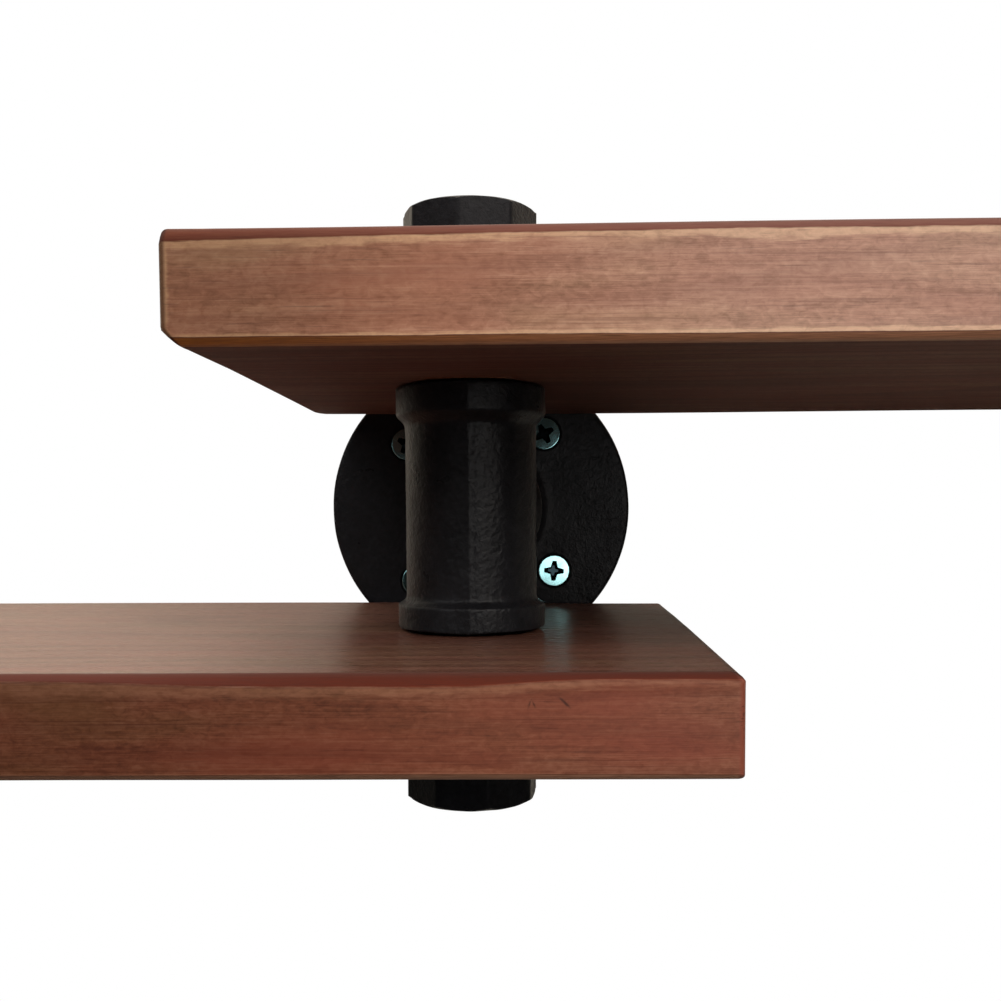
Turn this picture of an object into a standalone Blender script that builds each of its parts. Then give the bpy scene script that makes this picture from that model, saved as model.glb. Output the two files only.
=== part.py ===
"""Pipe wall shelf: two staggered boards clamped between black pipe fittings on three wall flanges.

Metres. The origin is where the middle flange's axis meets the wall. +X runs right along the wall,
+Y runs into the wall, +Z is up, so everything but the screw shanks lies on the -Y side.
"""

import math

import bmesh
import bpy
from mathutils import Vector

# Boards
BOARD_LENGTH = 0.600
BOARD_DEPTH = 0.150
BOARD_THICKNESS = 0.0205
BOARD_EASE = 0.002  # softened edges all round
BOARD_OVERHANG = 0.052  # from a pipe's axis to the nearer end of the board
BOARD_END_SKEW = {"upper_board": 0.0019, "lower_board": 0.0074}  # inner ends sawn longer at the back
BOARD_BACK_CLEARANCE = 0.002  # from the flange's face to the board's back edge
BOARD_HOLE_CLEARANCE = 0.0006  # round the pipe

# Pipe, nominal three-quarter inch
PIPE_RADIUS = 0.01335
PIPE_WALL = 0.0028
PIPE_EASE = 0.0006  # chamfer on the cut ends

# Tee and elbow
FITTING_REACH = 0.0295  # from the centre to each open end
FITTING_WALL = 0.00285
SOCKET_SHOULDER = 0.00185  # metal between the floor of one socket and the side of the next
SOCKET_END_CLEARANCE = 0.002  # from a pipe's end to the socket's floor
BAND_RISE = 0.002  # bands stand this far off the body
BAND_SPACING = 0.0025  # from the foot of a band to the side of the band that crosses it
BAND_FLARE = 0.003  # slope from band to body
BAND_EASE = 0.001
BEND_MARGIN = 0.0015  # the elbow's bend radius beyond the body's radius

# Caps
CAP_HEIGHT = 0.0215
CAP_WALL = 0.0017  # thinnest, at the middle of a flat
CAP_CROWN = 0.004  # thickness of the closed end
CAP_EASE = 0.0007
CAP_END_CLEARANCE = 0.0035  # from the pipe's end to the closed end
CAP_SIDES = 8

# Wall flanges
FLANGE_RADIUS = 0.0475
FLANGE_PLATE = 0.006
FLANGE_HEIGHT = 0.018
FLANGE_HUB_WALL = 0.005
FLANGE_FILLET = 0.004  # from hub to plate
FLANGE_EASE = 0.0012
NIPPLE_SETBACK = 0.002  # from the wall to the pipe's end inside the flange

# Wall screws
SCREW_COUNT = 4
SCREW_CIRCLE_RADIUS = 0.031
SCREW_LENGTH = 0.045
SCREW_SHANK_RADIUS = 0.0023
SCREW_HEAD_RADIUS = 0.0048
SCREW_HEAD_LAND = 0.0005  # straight rim of the head
SCREW_POINT = 0.008
SCREW_CLEARANCE = 0.0004  # to the flange all round
RECESS_SPAN = 0.0056
RECESS_WIDTH = 0.0013
RECESS_DEPTH = 0.0018
RECESS_TAPER = 0.4  # size of its floor against its mouth

# Small gaps between pieces that touch
THREAD_GAP = 0.0003
FACE_GAP = 0.0003

# How far round each piece was turned when it was tightened, in degrees
FLANGE_TURN = {"left": 41.0, "middle": 49.0, "right": 52.0}  # first screw, from +X towards +Z
CAP_TURN = {"left_lower": 4.0, "middle_upper": -9.7, "middle_lower": 15.0, "right_upper": 20.0}

# Facets of round pieces
PIPE_STEPS = 28
FLANGE_STEPS = 40
SCREW_STEPS = 16
BEND_STEPS = 8
ARC_STEPS = 2
OVERCUT = 0.002  # cutters pass the faces they open by this much

# Sizes that follow from the ones above
SOCKET_RADIUS = PIPE_RADIUS + THREAD_GAP
SOCKET_DEPTH = FITTING_REACH - SOCKET_RADIUS - SOCKET_SHOULDER
THREAD_LENGTH = SOCKET_DEPTH - SOCKET_END_CLEARANCE  # of pipe inside a tee or an elbow
PASSAGE_RADIUS = PIPE_RADIUS - PIPE_WALL
BODY_RADIUS = SOCKET_RADIUS + FITTING_WALL
BAND_RADIUS = BODY_RADIUS + BAND_RISE
BAND_HEIGHT = FITTING_REACH - BAND_RADIUS - BAND_SPACING
BEND_RADIUS = BODY_RADIUS + BEND_MARGIN
HUB_RADIUS = SOCKET_RADIUS + FLANGE_HUB_WALL
CAP_CORNER_RADIUS = (SOCKET_RADIUS + CAP_WALL) / math.cos(math.pi / CAP_SIDES)
BRACKET_SPACING = BOARD_LENGTH - 2 * BOARD_OVERHANG
BOARD_BACK = FLANGE_PLATE + BOARD_BACK_CLEARANCE  # from the wall
PIPE_AXIS = BOARD_BACK + BOARD_DEPTH / 2  # from the wall, in the middle of the board's depth
BOARD_FACE = FITTING_REACH + FACE_GAP  # from the tee's centre to the board's near face
CAP_SEAT = BOARD_FACE + BOARD_THICKNESS + FACE_GAP
CAP_THREAD_LENGTH = CAP_HEIGHT - CAP_CROWN - CAP_END_CLEARANCE  # of pipe inside a cap
SCREW_HEAD_CONE = SCREW_HEAD_RADIUS - SCREW_SHANK_RADIUS  # a right-angled countersink
HOLE_RADIUS = SCREW_SHANK_RADIUS + SCREW_CLEARANCE
SCREW_NECK = FLANGE_PLATE - SCREW_HEAD_LAND - SCREW_HEAD_CONE  # from the wall to the foot of the head

ALONG_WALL_AXIS = (math.pi / 2, 0, 0)  # turns local +Z to the front, away from the wall
TOWARDS_WALL = (-math.pi / 2, 0, 0)  # turns local +Z into the wall


def collection(name):
    made = bpy.data.collections.new(name)
    bpy.context.scene.collection.children.link(made)
    return made


def material(name, colour, roughness, metallic):
    made = bpy.data.materials.new(name)
    made.use_nodes = True
    shader = made.node_tree.nodes["Principled BSDF"]
    shader.inputs["Base Color"].default_value = (*colour, 1)
    shader.inputs["Roughness"].default_value = roughness
    shader.inputs["Metallic"].default_value = metallic
    return made


def add(name, mesh, parent=None, location=(0, 0, 0), rotation=(0, 0, 0)):
    """A shelf piece holding the mesh, placed in its parent."""
    piece = bpy.data.objects.new(name, mesh)
    piece.parent = parent
    piece.location = location
    piece.rotation_euler = rotation
    shelf.objects.link(piece)
    return piece


def as_cutter(piece):
    shelf.objects.unlink(piece)
    cutters.objects.link(piece)
    piece.hide_render = True
    piece.display_type = "WIRE"
    return piece


def finish(piece, look):
    """Gives the piece its own copy of a material and soft shading with crisp corners."""
    piece.data.materials.append(look.copy())
    piece.data.materials[0].name = piece.name
    for polygon in piece.data.polygons:
        polygon.use_smooth = True
    piece.data.set_sharp_from_angle(angle=math.radians(30))
    return piece


def arc(centre, radius, start, end):
    """Points of a profile's rounded corner, in degrees from straight out."""
    angles = [math.radians(start + (end - start) * i / ARC_STEPS) for i in range(ARC_STEPS + 1)]
    return [(centre[0] + radius * math.cos(a), centre[1] + radius * math.sin(a)) for a in angles]


def turned(name, profile, steps, closed=False, **place):
    """A profile of (radius, height) spun about Z, given down the outside from the top."""
    mesh = bpy.data.meshes.new(name)
    count = len(profile)
    edges = [(i, i + 1) for i in range(count - 1)]
    if closed:
        edges.append((count - 1, 0))
    mesh.from_pydata([(r, 0, z) for r, z in profile], edges, [])
    piece = add(name, mesh, **place)
    spin = piece.modifiers.new("spin", "SCREW")
    spin.axis = "Z"
    spin.angle = 2 * math.pi
    spin.steps = steps
    spin.render_steps = steps
    spin.use_merge_vertices = True
    spin.merge_threshold = 0.00001
    spin.use_smooth_shade = True
    return piece


def combine(piece, operation, tool):
    boolean = piece.modifiers.new(f"{operation.lower()} {tool.name}", "BOOLEAN")
    boolean.operation = operation
    boolean.solver = "EXACT"
    boolean.object = tool


def bent_rod(name, radius, straight, **place):
    """A solid rod from +Y round a quarter bend to +Z, with straight ends this far from the centre."""
    path = bpy.data.curves.new(name, "CURVE")
    path.dimensions = "3D"
    path.bevel_depth = radius
    path.bevel_resolution = PIPE_STEPS // 4 - 1
    path.use_fill_caps = True
    path.twist_mode = "MINIMUM"
    quarter = [math.pi / 2 * i / BEND_STEPS for i in range(BEND_STEPS + 1)]
    bend = [(BEND_RADIUS * (1 - math.sin(a)), BEND_RADIUS * (1 - math.cos(a))) for a in quarter]
    points = [(straight, 0)] + bend + [(0, straight)]
    spline = path.splines.new("POLY")
    spline.points.add(len(points) - 1)
    for point, (y, z) in zip(spline.points, points):
        point.co = (0, y, z, 1)
    drawn = bpy.data.objects.new(name, path)
    bpy.context.scene.collection.objects.link(drawn)
    graph = bpy.context.evaluated_depsgraph_get()
    mesh = bpy.data.meshes.new_from_object(drawn.evaluated_get(graph))
    bpy.data.objects.remove(drawn)
    work = bmesh.new()
    work.from_mesh(mesh)
    bmesh.ops.remove_doubles(work, verts=work.verts, dist=0.00001)
    bmesh.ops.recalc_face_normals(work, faces=work.faces)
    work.to_mesh(mesh)
    work.free()
    return add(name, mesh, **place)


def tube_profile(radius, wall, bottom, top):
    inner = radius - wall
    edge = radius - PIPE_EASE
    return [
        (edge, top), (radius, top - PIPE_EASE), (radius, bottom + PIPE_EASE), (edge, bottom),
        (inner, bottom), (inner, top),
    ]


def band_profile(top, foot_radius=BODY_RADIUS):
    """Outer side of a beaded end, from its mouth down to the body."""
    rim = arc((BAND_RADIUS - BAND_EASE, top - BAND_EASE), BAND_EASE, 90, 0)
    foot = top - BAND_HEIGHT
    return [(0, top)] + rim + [(BAND_RADIUS, foot), (foot_radius, foot - BAND_FLARE)]


def socket_profile(bottom):
    """Cutter for one threaded mouth and the passage behind it, down to the given height."""
    floor = FITTING_REACH - SOCKET_DEPTH
    return [
        (0, FITTING_REACH + OVERCUT), (SOCKET_RADIUS, FITTING_REACH + OVERCUT), (SOCKET_RADIUS, floor),
        (PASSAGE_RADIUS, floor), (PASSAGE_RADIUS, bottom), (0, bottom),
    ]


def mirrored_down(profile):
    """The profile from its top to the mid-plane, carried on to its own reflection."""
    return profile + [(r, -z) for r, z in reversed(profile)]


def tee(name, parent):
    centre = (0, -PIPE_AXIS, 0)
    body = turned(name, mirrored_down(band_profile(FITTING_REACH)), PIPE_STEPS, parent=parent, location=centre)
    branch_at = {"parent": parent, "location": centre, "rotation": TOWARDS_WALL}
    branch = turned(f"{name}_branch", band_profile(FITTING_REACH) + [(BODY_RADIUS, 0), (0, 0)], PIPE_STEPS,
                    **branch_at)
    run_bore = turned(f"{name}_run_bore", mirrored_down(socket_profile(0)[:4]), PIPE_STEPS, parent=parent,
                      location=centre)
    branch_bore = turned(f"{name}_branch_bore", socket_profile(0), PIPE_STEPS, **branch_at)
    combine(body, "UNION", as_cutter(branch))
    combine(body, "DIFFERENCE", as_cutter(run_bore))
    combine(body, "DIFFERENCE", as_cutter(branch_bore))
    return finish(body, iron)


def elbow(name, parent):
    centre = (0, -PIPE_AXIS, 0)
    inside = FITTING_REACH - BAND_HEIGHT / 2
    body = bent_rod(name, BODY_RADIUS, inside, parent=parent, location=centre)
    passage = bent_rod(f"{name}_passage", PASSAGE_RADIUS, FITTING_REACH - SOCKET_DEPTH / 2, parent=parent,
                       location=centre)
    foot = FITTING_REACH - BAND_HEIGHT - BAND_FLARE
    socket = socket_profile(FITTING_REACH - SOCKET_DEPTH)[:3] + [(0, FITTING_REACH - SOCKET_DEPTH)]
    mouths = {"wall": TOWARDS_WALL, "board": (0, 0, 0)}
    bores = []
    for end, rotation in mouths.items():
        place = {"parent": parent, "location": centre, "rotation": rotation}
        profile = band_profile(FITTING_REACH, BODY_RADIUS - BAND_EASE)
        band = turned(f"{name}_{end}_band", profile + [(0, foot)], PIPE_STEPS, **place)
        combine(body, "UNION", as_cutter(band))
        bores.append(as_cutter(turned(f"{name}_{end}_bore", socket, PIPE_STEPS, **place)))
    for bore in bores + [as_cutter(passage)]:
        combine(body, "DIFFERENCE", bore)
    return finish(body, iron)


def flange(name, parent, turn):
    """The plate with its hub, and a screw in each hole."""
    hub_top = arc((HUB_RADIUS - FLANGE_EASE, FLANGE_HEIGHT - FLANGE_EASE), FLANGE_EASE, 90, 0)
    root = arc((HUB_RADIUS + FLANGE_FILLET, FLANGE_PLATE + FLANGE_FILLET), FLANGE_FILLET, 180, 270)
    rim = arc((FLANGE_RADIUS - FLANGE_EASE, FLANGE_PLATE - FLANGE_EASE), FLANGE_EASE, 90, 0)
    profile = [(SOCKET_RADIUS, FLANGE_HEIGHT)] + hub_top + root + rim + [(FLANGE_RADIUS, 0), (SOCKET_RADIUS, 0)]
    plate = turned(f"{name}_flange", profile, FLANGE_STEPS, closed=True, parent=parent,
                   rotation=ALONG_WALL_AXIS)
    mouth = FLANGE_PLATE + OVERCUT
    hole_profile = [
        (0, mouth), (HOLE_RADIUS + mouth - SCREW_NECK, mouth), (HOLE_RADIUS, SCREW_NECK),
        (HOLE_RADIUS, -OVERCUT), (0, -OVERCUT),
    ]
    for i in range(SCREW_COUNT):
        angle = math.radians(turn + 360 * i / SCREW_COUNT)
        side, up = SCREW_CIRCLE_RADIUS * math.cos(angle), SCREW_CIRCLE_RADIUS * math.sin(angle)
        place = {"parent": parent, "location": (side, 0, up), "rotation": ALONG_WALL_AXIS}
        hole = turned(f"{name}_hole_{i + 1}", hole_profile, SCREW_STEPS, **place)
        combine(plate, "DIFFERENCE", as_cutter(hole))
        screw(f"{name}_wall_screw_{i + 1}", place)
    return finish(plate, iron)


def screw(name, place):
    """A countersunk wood screw, its flat top level with the flange's face."""
    top = FLANGE_PLATE
    tip = top - SCREW_LENGTH
    profile = [
        (0, top), (SCREW_HEAD_RADIUS, top), (SCREW_HEAD_RADIUS, top - SCREW_HEAD_LAND),
        (SCREW_SHANK_RADIUS, SCREW_NECK), (SCREW_SHANK_RADIUS, tip + SCREW_POINT), (0, tip),
    ]
    body = turned(name, profile, SCREW_STEPS, **place)
    combine(body, "DIFFERENCE", as_cutter(recess(f"{name}_recess", place)))
    return finish(body, zinc)


def recess(name, place):
    """A cross of two tapering blades that narrow towards a point below the head's face."""
    half, side = RECESS_SPAN / 2, RECESS_WIDTH / 2
    plan = []
    for quarter in range(4):
        c, s = round(math.cos(math.pi / 2 * quarter)), round(math.sin(math.pi / 2 * quarter))
        plan += [(x * c - y * s, x * s + y * c) for x, y in ((half, -side), (half, side), (side, side))]
    work = bmesh.new()
    top = [work.verts.new((x, y, FLANGE_PLATE + OVERCUT)) for x, y in plan]
    floor = [work.verts.new((x * RECESS_TAPER, y * RECESS_TAPER, FLANGE_PLATE - RECESS_DEPTH)) for x, y in plan]
    work.faces.new(top)
    work.faces.new(list(reversed(floor)))
    for i, above in enumerate(top):
        work.faces.new((top[i - 1], floor[i - 1], floor[i], above))
    bmesh.ops.recalc_face_normals(work, faces=work.faces)
    mesh = bpy.data.meshes.new(name)
    work.to_mesh(mesh)
    work.free()
    return add(name, mesh, **place)


def cap(name, parent, turn):
    """An octagonal pipe cap seated on the board, its closed end away from it."""
    work = bmesh.new()
    bmesh.ops.create_cone(work, cap_ends=True, segments=CAP_SIDES, radius1=CAP_CORNER_RADIUS,
                          radius2=CAP_CORNER_RADIUS, depth=CAP_HEIGHT)
    work.verts.ensure_lookup_table()
    first = work.verts[0].co
    start = math.atan2(first.y, first.x)
    bmesh.ops.translate(work, verts=work.verts, vec=Vector((0, 0, CAP_HEIGHT / 2)))
    mesh = bpy.data.meshes.new(name)
    work.to_mesh(mesh)
    work.free()
    towards_viewer = math.radians(turn) - math.pi / 2
    place = {"parent": parent, "location": (0, -PIPE_AXIS, CAP_SEAT)}
    body = add(name, mesh, rotation=(0, 0, towards_viewer - start), **place)
    bevel = body.modifiers.new("ease", "BEVEL")
    bevel.width = CAP_EASE
    bevel.segments = 2
    bevel.limit_method = "ANGLE"
    floor = CAP_HEIGHT - CAP_CROWN
    bore = turned(f"{name}_bore", [(0, floor), (SOCKET_RADIUS, floor), (SOCKET_RADIUS, -OVERCUT), (0, -OVERCUT)],
                  PIPE_STEPS, **place)
    combine(body, "DIFFERENCE", as_cutter(bore))
    return finish(body, iron)


def board(name, parent):
    """The board above a bracket that is turned up, running from that bracket's left to the next bracket."""
    work = bmesh.new()
    bmesh.ops.create_cube(work, size=1)
    bmesh.ops.scale(work, verts=work.verts, vec=Vector((BOARD_LENGTH, BOARD_DEPTH, BOARD_THICKNESS)))
    inner_back = [v for v in work.verts if v.co.x < 0 < v.co.y]
    bmesh.ops.translate(work, verts=inner_back, vec=Vector((-BOARD_END_SKEW[name], 0, 0)))
    mesh = bpy.data.meshes.new(name)
    work.to_mesh(mesh)
    work.free()
    middle = (BOARD_LENGTH / 2 - BOARD_OVERHANG, -PIPE_AXIS, BOARD_FACE + BOARD_THICKNESS / 2)
    plank = add(name, mesh, parent=parent, location=middle)
    bevel = plank.modifiers.new("ease", "BEVEL")
    bevel.width = BOARD_EASE
    bevel.segments = 2
    bevel.limit_method = "ANGLE"
    half = BOARD_THICKNESS / 2 + OVERCUT
    radius = PIPE_RADIUS + BOARD_HOLE_CLEARANCE
    for i, x in enumerate((0, BRACKET_SPACING)):
        place = {"parent": parent, "location": (x, middle[1], middle[2])}
        hole = turned(f"{name}_hole_{i + 1}", [(0, half), (radius, half), (radius, -half), (0, -half)], PIPE_STEPS,
                      **place)
        combine(plank, "DIFFERENCE", as_cutter(hole))
    return finish(plank, wood)


def board_nipple(name, parent):
    bottom = FITTING_REACH - THREAD_LENGTH
    profile = tube_profile(PIPE_RADIUS, PIPE_WALL, bottom, CAP_SEAT + CAP_THREAD_LENGTH)
    return finish(turned(name, profile, PIPE_STEPS, closed=True, parent=parent, location=(0, -PIPE_AXIS, 0)), pipe)


def wall_nipple(name, parent):
    profile = tube_profile(PIPE_RADIUS, PIPE_WALL, NIPPLE_SETBACK, PIPE_AXIS - FITTING_REACH + THREAD_LENGTH)
    return finish(turned(name, profile, PIPE_STEPS, closed=True, parent=parent, rotation=ALONG_WALL_AXIS), pipe)


def holder(name, x, upside_down=False):
    """An empty on a flange's axis at the wall; turned over, what is built upwards hangs down."""
    empty = bpy.data.objects.new(name, None)
    empty.location = (x, 0, 0)
    empty.rotation_euler = (0, math.pi if upside_down else 0, 0)
    shelf.objects.link(empty)
    return empty


for old in list(bpy.data.objects):
    bpy.data.objects.remove(old)

shelf = collection("pipe_wall_shelf")
cutters = collection("cutters")
iron = material("iron", (0.012, 0.012, 0.013), 0.55, 0.0)
pipe = material("pipe", (0.014, 0.014, 0.015), 0.45, 0.0)
zinc = material("zinc", (0.62, 0.66, 0.68), 0.3, 1.0)
wood = material("wood", (0.19, 0.078, 0.048), 0.4, 0.0)

middle = holder("middle_bracket", 0)
middle_down = holder("middle_bracket_down", 0, upside_down=True)
left_wall = holder("left_bracket", -BRACKET_SPACING)
left_down = holder("left_bracket_down", -BRACKET_SPACING, upside_down=True)
right = holder("right_bracket", BRACKET_SPACING)

flange("middle", middle, FLANGE_TURN["middle"])
flange("left", left_wall, FLANGE_TURN["left"])
flange("right", right, FLANGE_TURN["right"])
for side, bracket in (("middle", middle), ("left", left_wall), ("right", right)):
    wall_nipple(f"{side}_wall_nipple", bracket)

tee("middle_tee", middle)
elbow("left_elbow", left_down)
elbow("right_elbow", right)

board("upper_board", middle)
board("lower_board", middle_down)

ends = {"middle_upper": middle, "middle_lower": middle_down, "left_lower": left_down, "right_upper": right}
for end, bracket in ends.items():
    hanging = end.endswith("lower")
    board_nipple(f"{end}_nipple", bracket)
    cap(f"{end}_cap", bracket, -CAP_TURN[end] if hanging else CAP_TURN[end])
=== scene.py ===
import math
from functools import partial
from types import SimpleNamespace

import bmesh
import bpy
import numpy as np
from mathutils import Matrix, Vector


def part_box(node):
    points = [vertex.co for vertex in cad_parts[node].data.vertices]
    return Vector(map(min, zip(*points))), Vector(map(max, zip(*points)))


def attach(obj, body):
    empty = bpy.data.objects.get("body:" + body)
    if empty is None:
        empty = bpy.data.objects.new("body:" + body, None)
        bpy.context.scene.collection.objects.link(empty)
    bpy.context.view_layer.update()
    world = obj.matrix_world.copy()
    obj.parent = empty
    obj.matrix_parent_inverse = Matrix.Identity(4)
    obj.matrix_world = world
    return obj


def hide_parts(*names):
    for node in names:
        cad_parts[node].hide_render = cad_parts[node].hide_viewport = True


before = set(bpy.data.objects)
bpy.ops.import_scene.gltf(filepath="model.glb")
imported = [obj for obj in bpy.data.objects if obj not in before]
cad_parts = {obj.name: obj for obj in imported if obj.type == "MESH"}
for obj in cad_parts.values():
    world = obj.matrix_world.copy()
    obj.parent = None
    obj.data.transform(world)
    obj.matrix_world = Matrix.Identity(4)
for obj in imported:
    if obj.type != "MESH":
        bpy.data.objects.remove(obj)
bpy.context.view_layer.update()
scene = bpy.context.scene
print("frame:", len(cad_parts), "nodes")

# Small tools. Lengths are mm until a mesh is made.
mm = 0.001  # in metres
metre = 1000  # in mm
mergeSteps = 1e4  # points are told apart to a ten-thousandth of a mm


def boxMm(node):
    low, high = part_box(node)
    return np.array(low) * metre, np.array(high) * metre


def midMm(node):
    low, high = boxMm(node)
    return (low + high) / 2


# middle_upper_cap becomes middleUpperCap
def pieceName(node):
    first, *rest = node.split("_")
    return first + "".join(word.capitalize() for word in rest)


# the values of a dictionary, by name
def named(look):
    return SimpleNamespace(**look)


# profile rule: each corner (radius, height, soft) becomes a quadratic curve between points soft mm away
def softened(corners, steps=6):
    spots = np.array([c[:2] for c in corners], float)
    s = np.linspace(0, 1, steps)[:, None]
    parts = [spots[:1]]
    for before, here, after, corner in zip(spots, spots[1:], spots[2:], corners[1:]):
        soft = corner[2] if len(corner) > 2 else 0
        if soft == 0:
            parts.append(here[None])
            continue
        back, on = before - here, after - here
        start = here + back / np.linalg.norm(back) * soft
        end = here + on / np.linalg.norm(on) * soft
        parts.append((1 - s) ** 2 * start + 2 * s * (1 - s) * here + s ** 2 * end)
    return np.concatenate(parts + [spots[-1:]])


# puts extra points along a profile, so that none is more than step mm from the next
def filled(profile, step, closest=0.02):
    far = np.concatenate([[0], np.cumsum(np.linalg.norm(np.diff(profile, axis=0), axis=1))])
    at = np.union1d(far, np.arange(0, far[-1], step))
    at = at[np.concatenate([[True], np.diff(at) > closest])]
    return np.stack([np.interp(at, far, profile[:, 0]), np.interp(at, far, profile[:, 1])], 1)


def anglesRound(count):
    return np.linspace(0, 2 * np.pi, count, endpoint=False)


# places round the Z axis, from radius, height and angle
def around(radius, height, angle):
    return np.stack([radius * np.cos(angle), radius * np.sin(angle), height + 0 * angle], -1)


# lathe: the profile's radius and height carried round the Z axis
def turned(profile, count):
    return around(profile[:, :1], profile[:, 1:], anglesRound(count))


upright = np.eye(3)
upsideDown = np.diag([-1.0, 1.0, -1.0])  # half a turn about Y
outFromWall = np.array([[1.0, 0, 0], [0, 0, -1], [0, 1, 0]])  # Z of the lathe comes out of the wall
intoWall = np.array([[1.0, 0, 0], [0, 0, 1], [0, -1, 0]])  # Z of the lathe goes into the wall


# grid[i, j] is place j round section i: neighbours join as quads, and equal points merge to close seams
def gridMesh(name, grid, looped=False, capped=False, marks=None):
    rows, cols = grid.shape[:2]
    index = np.arange(rows * cols).reshape(rows, cols)
    here, there = (index, np.roll(index, -1, 0)) if looped else (index[:-1], index[1:])
    quads = np.stack([here, there, np.roll(there, -1, 1), np.roll(here, -1, 1)], -1).reshape(-1, 4)
    points = grid.reshape(-1, 3)
    steps = np.round(points * mergeSteps).astype(np.int64)
    _, first, same = np.unique(steps, axis=0, return_index=True, return_inverse=True)
    same = same.reshape(-1)
    quads = same[quads]
    twice = quads == np.roll(quads, -1, 1)
    whole, thin = quads[~twice.any(1)], quads[twice.sum(1) == 1]
    tris = thin[~(thin == np.roll(thin, -1, 1))].reshape(-1, 3)
    faces = whole.tolist() + tris.tolist()
    if capped:
        faces += [same[index[0]].tolist(), same[index[-1]][::-1].tolist()]
    mesh = bpy.data.meshes.new(name)
    mesh.from_pydata((points[first] * mm).tolist(), [], faces)
    bm = bmesh.new()
    bm.from_mesh(mesh)
    bmesh.ops.recalc_face_normals(bm, faces=bm.faces[:])
    bm.to_mesh(mesh)
    bm.free()
    mesh.shade_smooth()
    for label, values in (marks or {}).items():
        addMark(mesh, label, values.reshape(-1)[first])
    return mesh


# a number at each point, which a material reads by its label
def addMark(mesh, label, values):
    mesh.attributes.new(label, "FLOAT", "POINT").data.foreach_set("value", values.astype(np.float32))


def newPiece(name, mesh):
    piece = bpy.data.objects.new(pieceName(name), mesh)
    scene.collection.objects.link(piece)
    return piece


def gridPiece(name, grid, **options):
    return newPiece(name, gridMesh(name, grid, **options))


# turns what the modifiers show into the piece's own mesh
def settle(piece):
    graph = bpy.context.evaluated_depsgraph_get()
    shown = piece.evaluated_get(graph)
    made = bpy.data.meshes.new_from_object(shown, preserve_all_data_layers=True, depsgraph=graph)
    piece.modifiers.clear()
    piece.data = made


def carve(piece, tools, operation="DIFFERENCE"):
    for tool in tools:
        change = piece.modifiers.new(tool.name, "BOOLEAN")
        change.operation, change.solver, change.object = operation, "EXACT", tool
    settle(piece)
    for tool in tools:
        bpy.data.objects.remove(tool)


def dress(piece, node, finish, sharpFrom=None):
    if sharpFrom:
        piece.data.set_sharp_from_angle(angle=math.radians(sharpFrom))
    piece.data.materials.clear()
    piece.data.materials.append(finish)
    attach(piece, "root")
    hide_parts(node)


def readPoints(mesh):
    spots, ways = np.empty(len(mesh.vertices) * 3), np.empty(len(mesh.vertices) * 3)
    mesh.vertices.foreach_get("co", spots)
    mesh.vertex_normals.foreach_get("vector", ways)
    return spots.reshape(-1, 3) * metre, ways.reshape(-1, 3)


def writePoints(mesh, spots):
    mesh.vertices.foreach_set("co", (spots * mm).reshape(-1))
    mesh.update()


# uneven casting: sine waves in fixed directions, each about wave mm long, summed at every point
def unevenness(spots, wave, seed, count=8):
    rng = np.random.default_rng(seed)
    ways = rng.normal(size=(count, 3))
    ways /= np.linalg.norm(ways, axis=1)[:, None]
    lengths = wave * rng.uniform(0.7, 1.5, count)
    phases = spots @ (ways / lengths[:, None] * 2 * np.pi).T + rng.uniform(0, 6.3, count)
    return np.sin(phases).sum(1) / (2 * count) ** 0.5


# Materials
def linear(hexText):
    parts = [int(hexText[k:k + 2], 16) / 255 for k in (1, 3, 5)]
    return tuple(p / 12.92 if p <= 0.04045 else ((p + 0.055) / 1.055) ** 2.4 for p in parts) + (1,)


# adds a node, sets its options and fills its sockets with values or links; a tuple fills them in order
def addNode(tree, kind, sockets=(), **options):
    node = tree.nodes.new("ShaderNode" + kind)
    for option, value in options.items():
        setattr(node, option, value)
    for socket, value in sockets.items() if isinstance(sockets, dict) else enumerate(sockets):
        if isinstance(value, bpy.types.Node):
            value = next(o for o in value.outputs if o.enabled)
        if isinstance(value, bpy.types.NodeSocket):
            tree.links.new(value, node.inputs[socket])
        else:
            node.inputs[socket].default_value = value
    return node


# options that many nodes share
times = {"operation": "MULTIPLY"}
timesPlus = {"operation": "MULTIPLY_ADD"}  # first times second plus third
greater = {"operation": "MAXIMUM"}
colours = {"data_type": "RGBA"}  # socket 0 is the share, 6 and 7 are the two colours
numbers = {"data_type": "FLOAT"}  # socket 0 is the share, 2 and 3 are the two numbers
smoothly = {"interpolation_type": "SMOOTHSTEP"}
noiseSpan = (0.3, 0.7)  # most of a noise lies between these


# the recipe gets the function that adds nodes and the place on the piece in mm, and gives back the surface
def newMaterial(name, recipe, *choices):
    material = bpy.data.materials.new(name)
    material.use_nodes = True
    material.node_tree.nodes.clear()
    put = partial(addNode, material.node_tree)
    where = put("VectorMath", {0: put("TexCoord").outputs["Object"], "Scale": 1000}, operation="SCALE")
    put("OutputMaterial", {"Surface": recipe(put, where, *choices)})
    return material


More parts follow.
